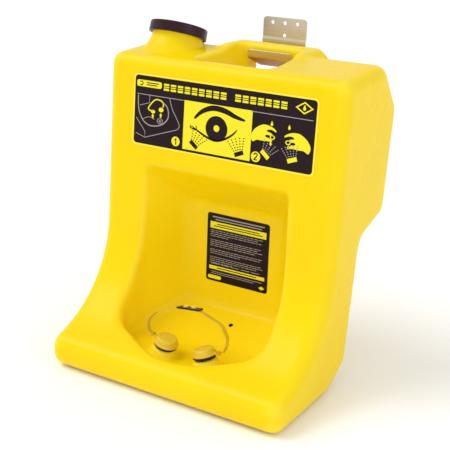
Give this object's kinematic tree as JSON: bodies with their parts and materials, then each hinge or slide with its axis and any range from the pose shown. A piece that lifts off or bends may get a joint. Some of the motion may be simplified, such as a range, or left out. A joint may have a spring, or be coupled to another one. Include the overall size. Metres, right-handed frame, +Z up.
{
  "type": "portable eyewash station",
  "caption": "Gravity-fed moulded eyewash tank with a catch bowl, strapped spray-head covers, screw filler cap and a wall hook bracket.",
  "frame": {"origin": "on the wall plane (back of the bracket), midway between the outer two holes of the bracket's three-hole row", "axes": "+X to the right seen from the front, +Y into the wall, +Z up; the user stands at -Y"},
  "size_m": [0.44, 0.375, 0.57],
  "materials": {
    "tank": "satin rotomoulded polyethylene, safety yellow",
    "label": "printed vinyl, near-black and yellow",
    "cap": "satin near-black",
    "seal": "matte",
    "bracket": "brushed stainless",
    "strap": "slightly clouded flexible plastic",
    "clip": "black moulded",
    "head": "black moulded",
    "face": "light grey perforated disc",
    "screen": "perforated stainless",
    "cover": "moulded pale yellow",
    "stud": "pale moulded rivet"
  },
  "bodies": {
    "bracket": {"wall_bracket": "bracket"},
    "tank": {"tank_body": "tank", "front_label": "label", "bowl_label": "label", "drain_tube": "clip", "spray_head_left": "head", "spray_head_right": "head", "spray_face_left": "face", "spray_face_right": "face", "stem_gasket_left": "seal", "stem_gasket_right": "seal", "lock_nut_left": "head", "lock_nut_right": "head", "inlet_screen_left": "screen", "inlet_screen_right": "screen"},
    "cap_liner": {"cap_gasket": "seal"},
    "cap": {"filler_cap": "cap"},
    "strap": {"activation_strap": "strap", "strap_clip": "clip", "cover_left": "cover", "cover_right": "cover", "cover_seal_left": "seal", "cover_seal_right": "seal", "strap_pin_left": "stud", "strap_pin_right": "stud", "clip_stud_left": "stud", "clip_stud_right": "stud"}
  },
  "joints": [
    {"name": "tank_lift", "type": "slide", "parent": "bracket", "child": "tank", "axis": [0, 0, 1], "range_m": [0, 0.02]},
    {"name": "cap_rise", "type": "slide", "parent": "tank", "child": "cap_liner", "axis": [0, 0.309, 0.9511], "range_m": [0, 0.012]},
    {"name": "cap_turn", "type": "hinge", "parent": "cap_liner", "child": "cap", "pos_m": [-0.149, -0.10588, -0.01276], "axis": [0, 0.309, 0.9511], "range_deg": [0, 539]},
    {"name": "strap_lift", "type": "slide", "parent": "tank", "child": "strap", "axis": [0, 0, 1], "range_m": [0, 0.06]}
  ],
  "couplings": [
    {"joint": "cap_rise", "follows": "cap_turn", "m_per_rad": 0.0012732}
  ]
}
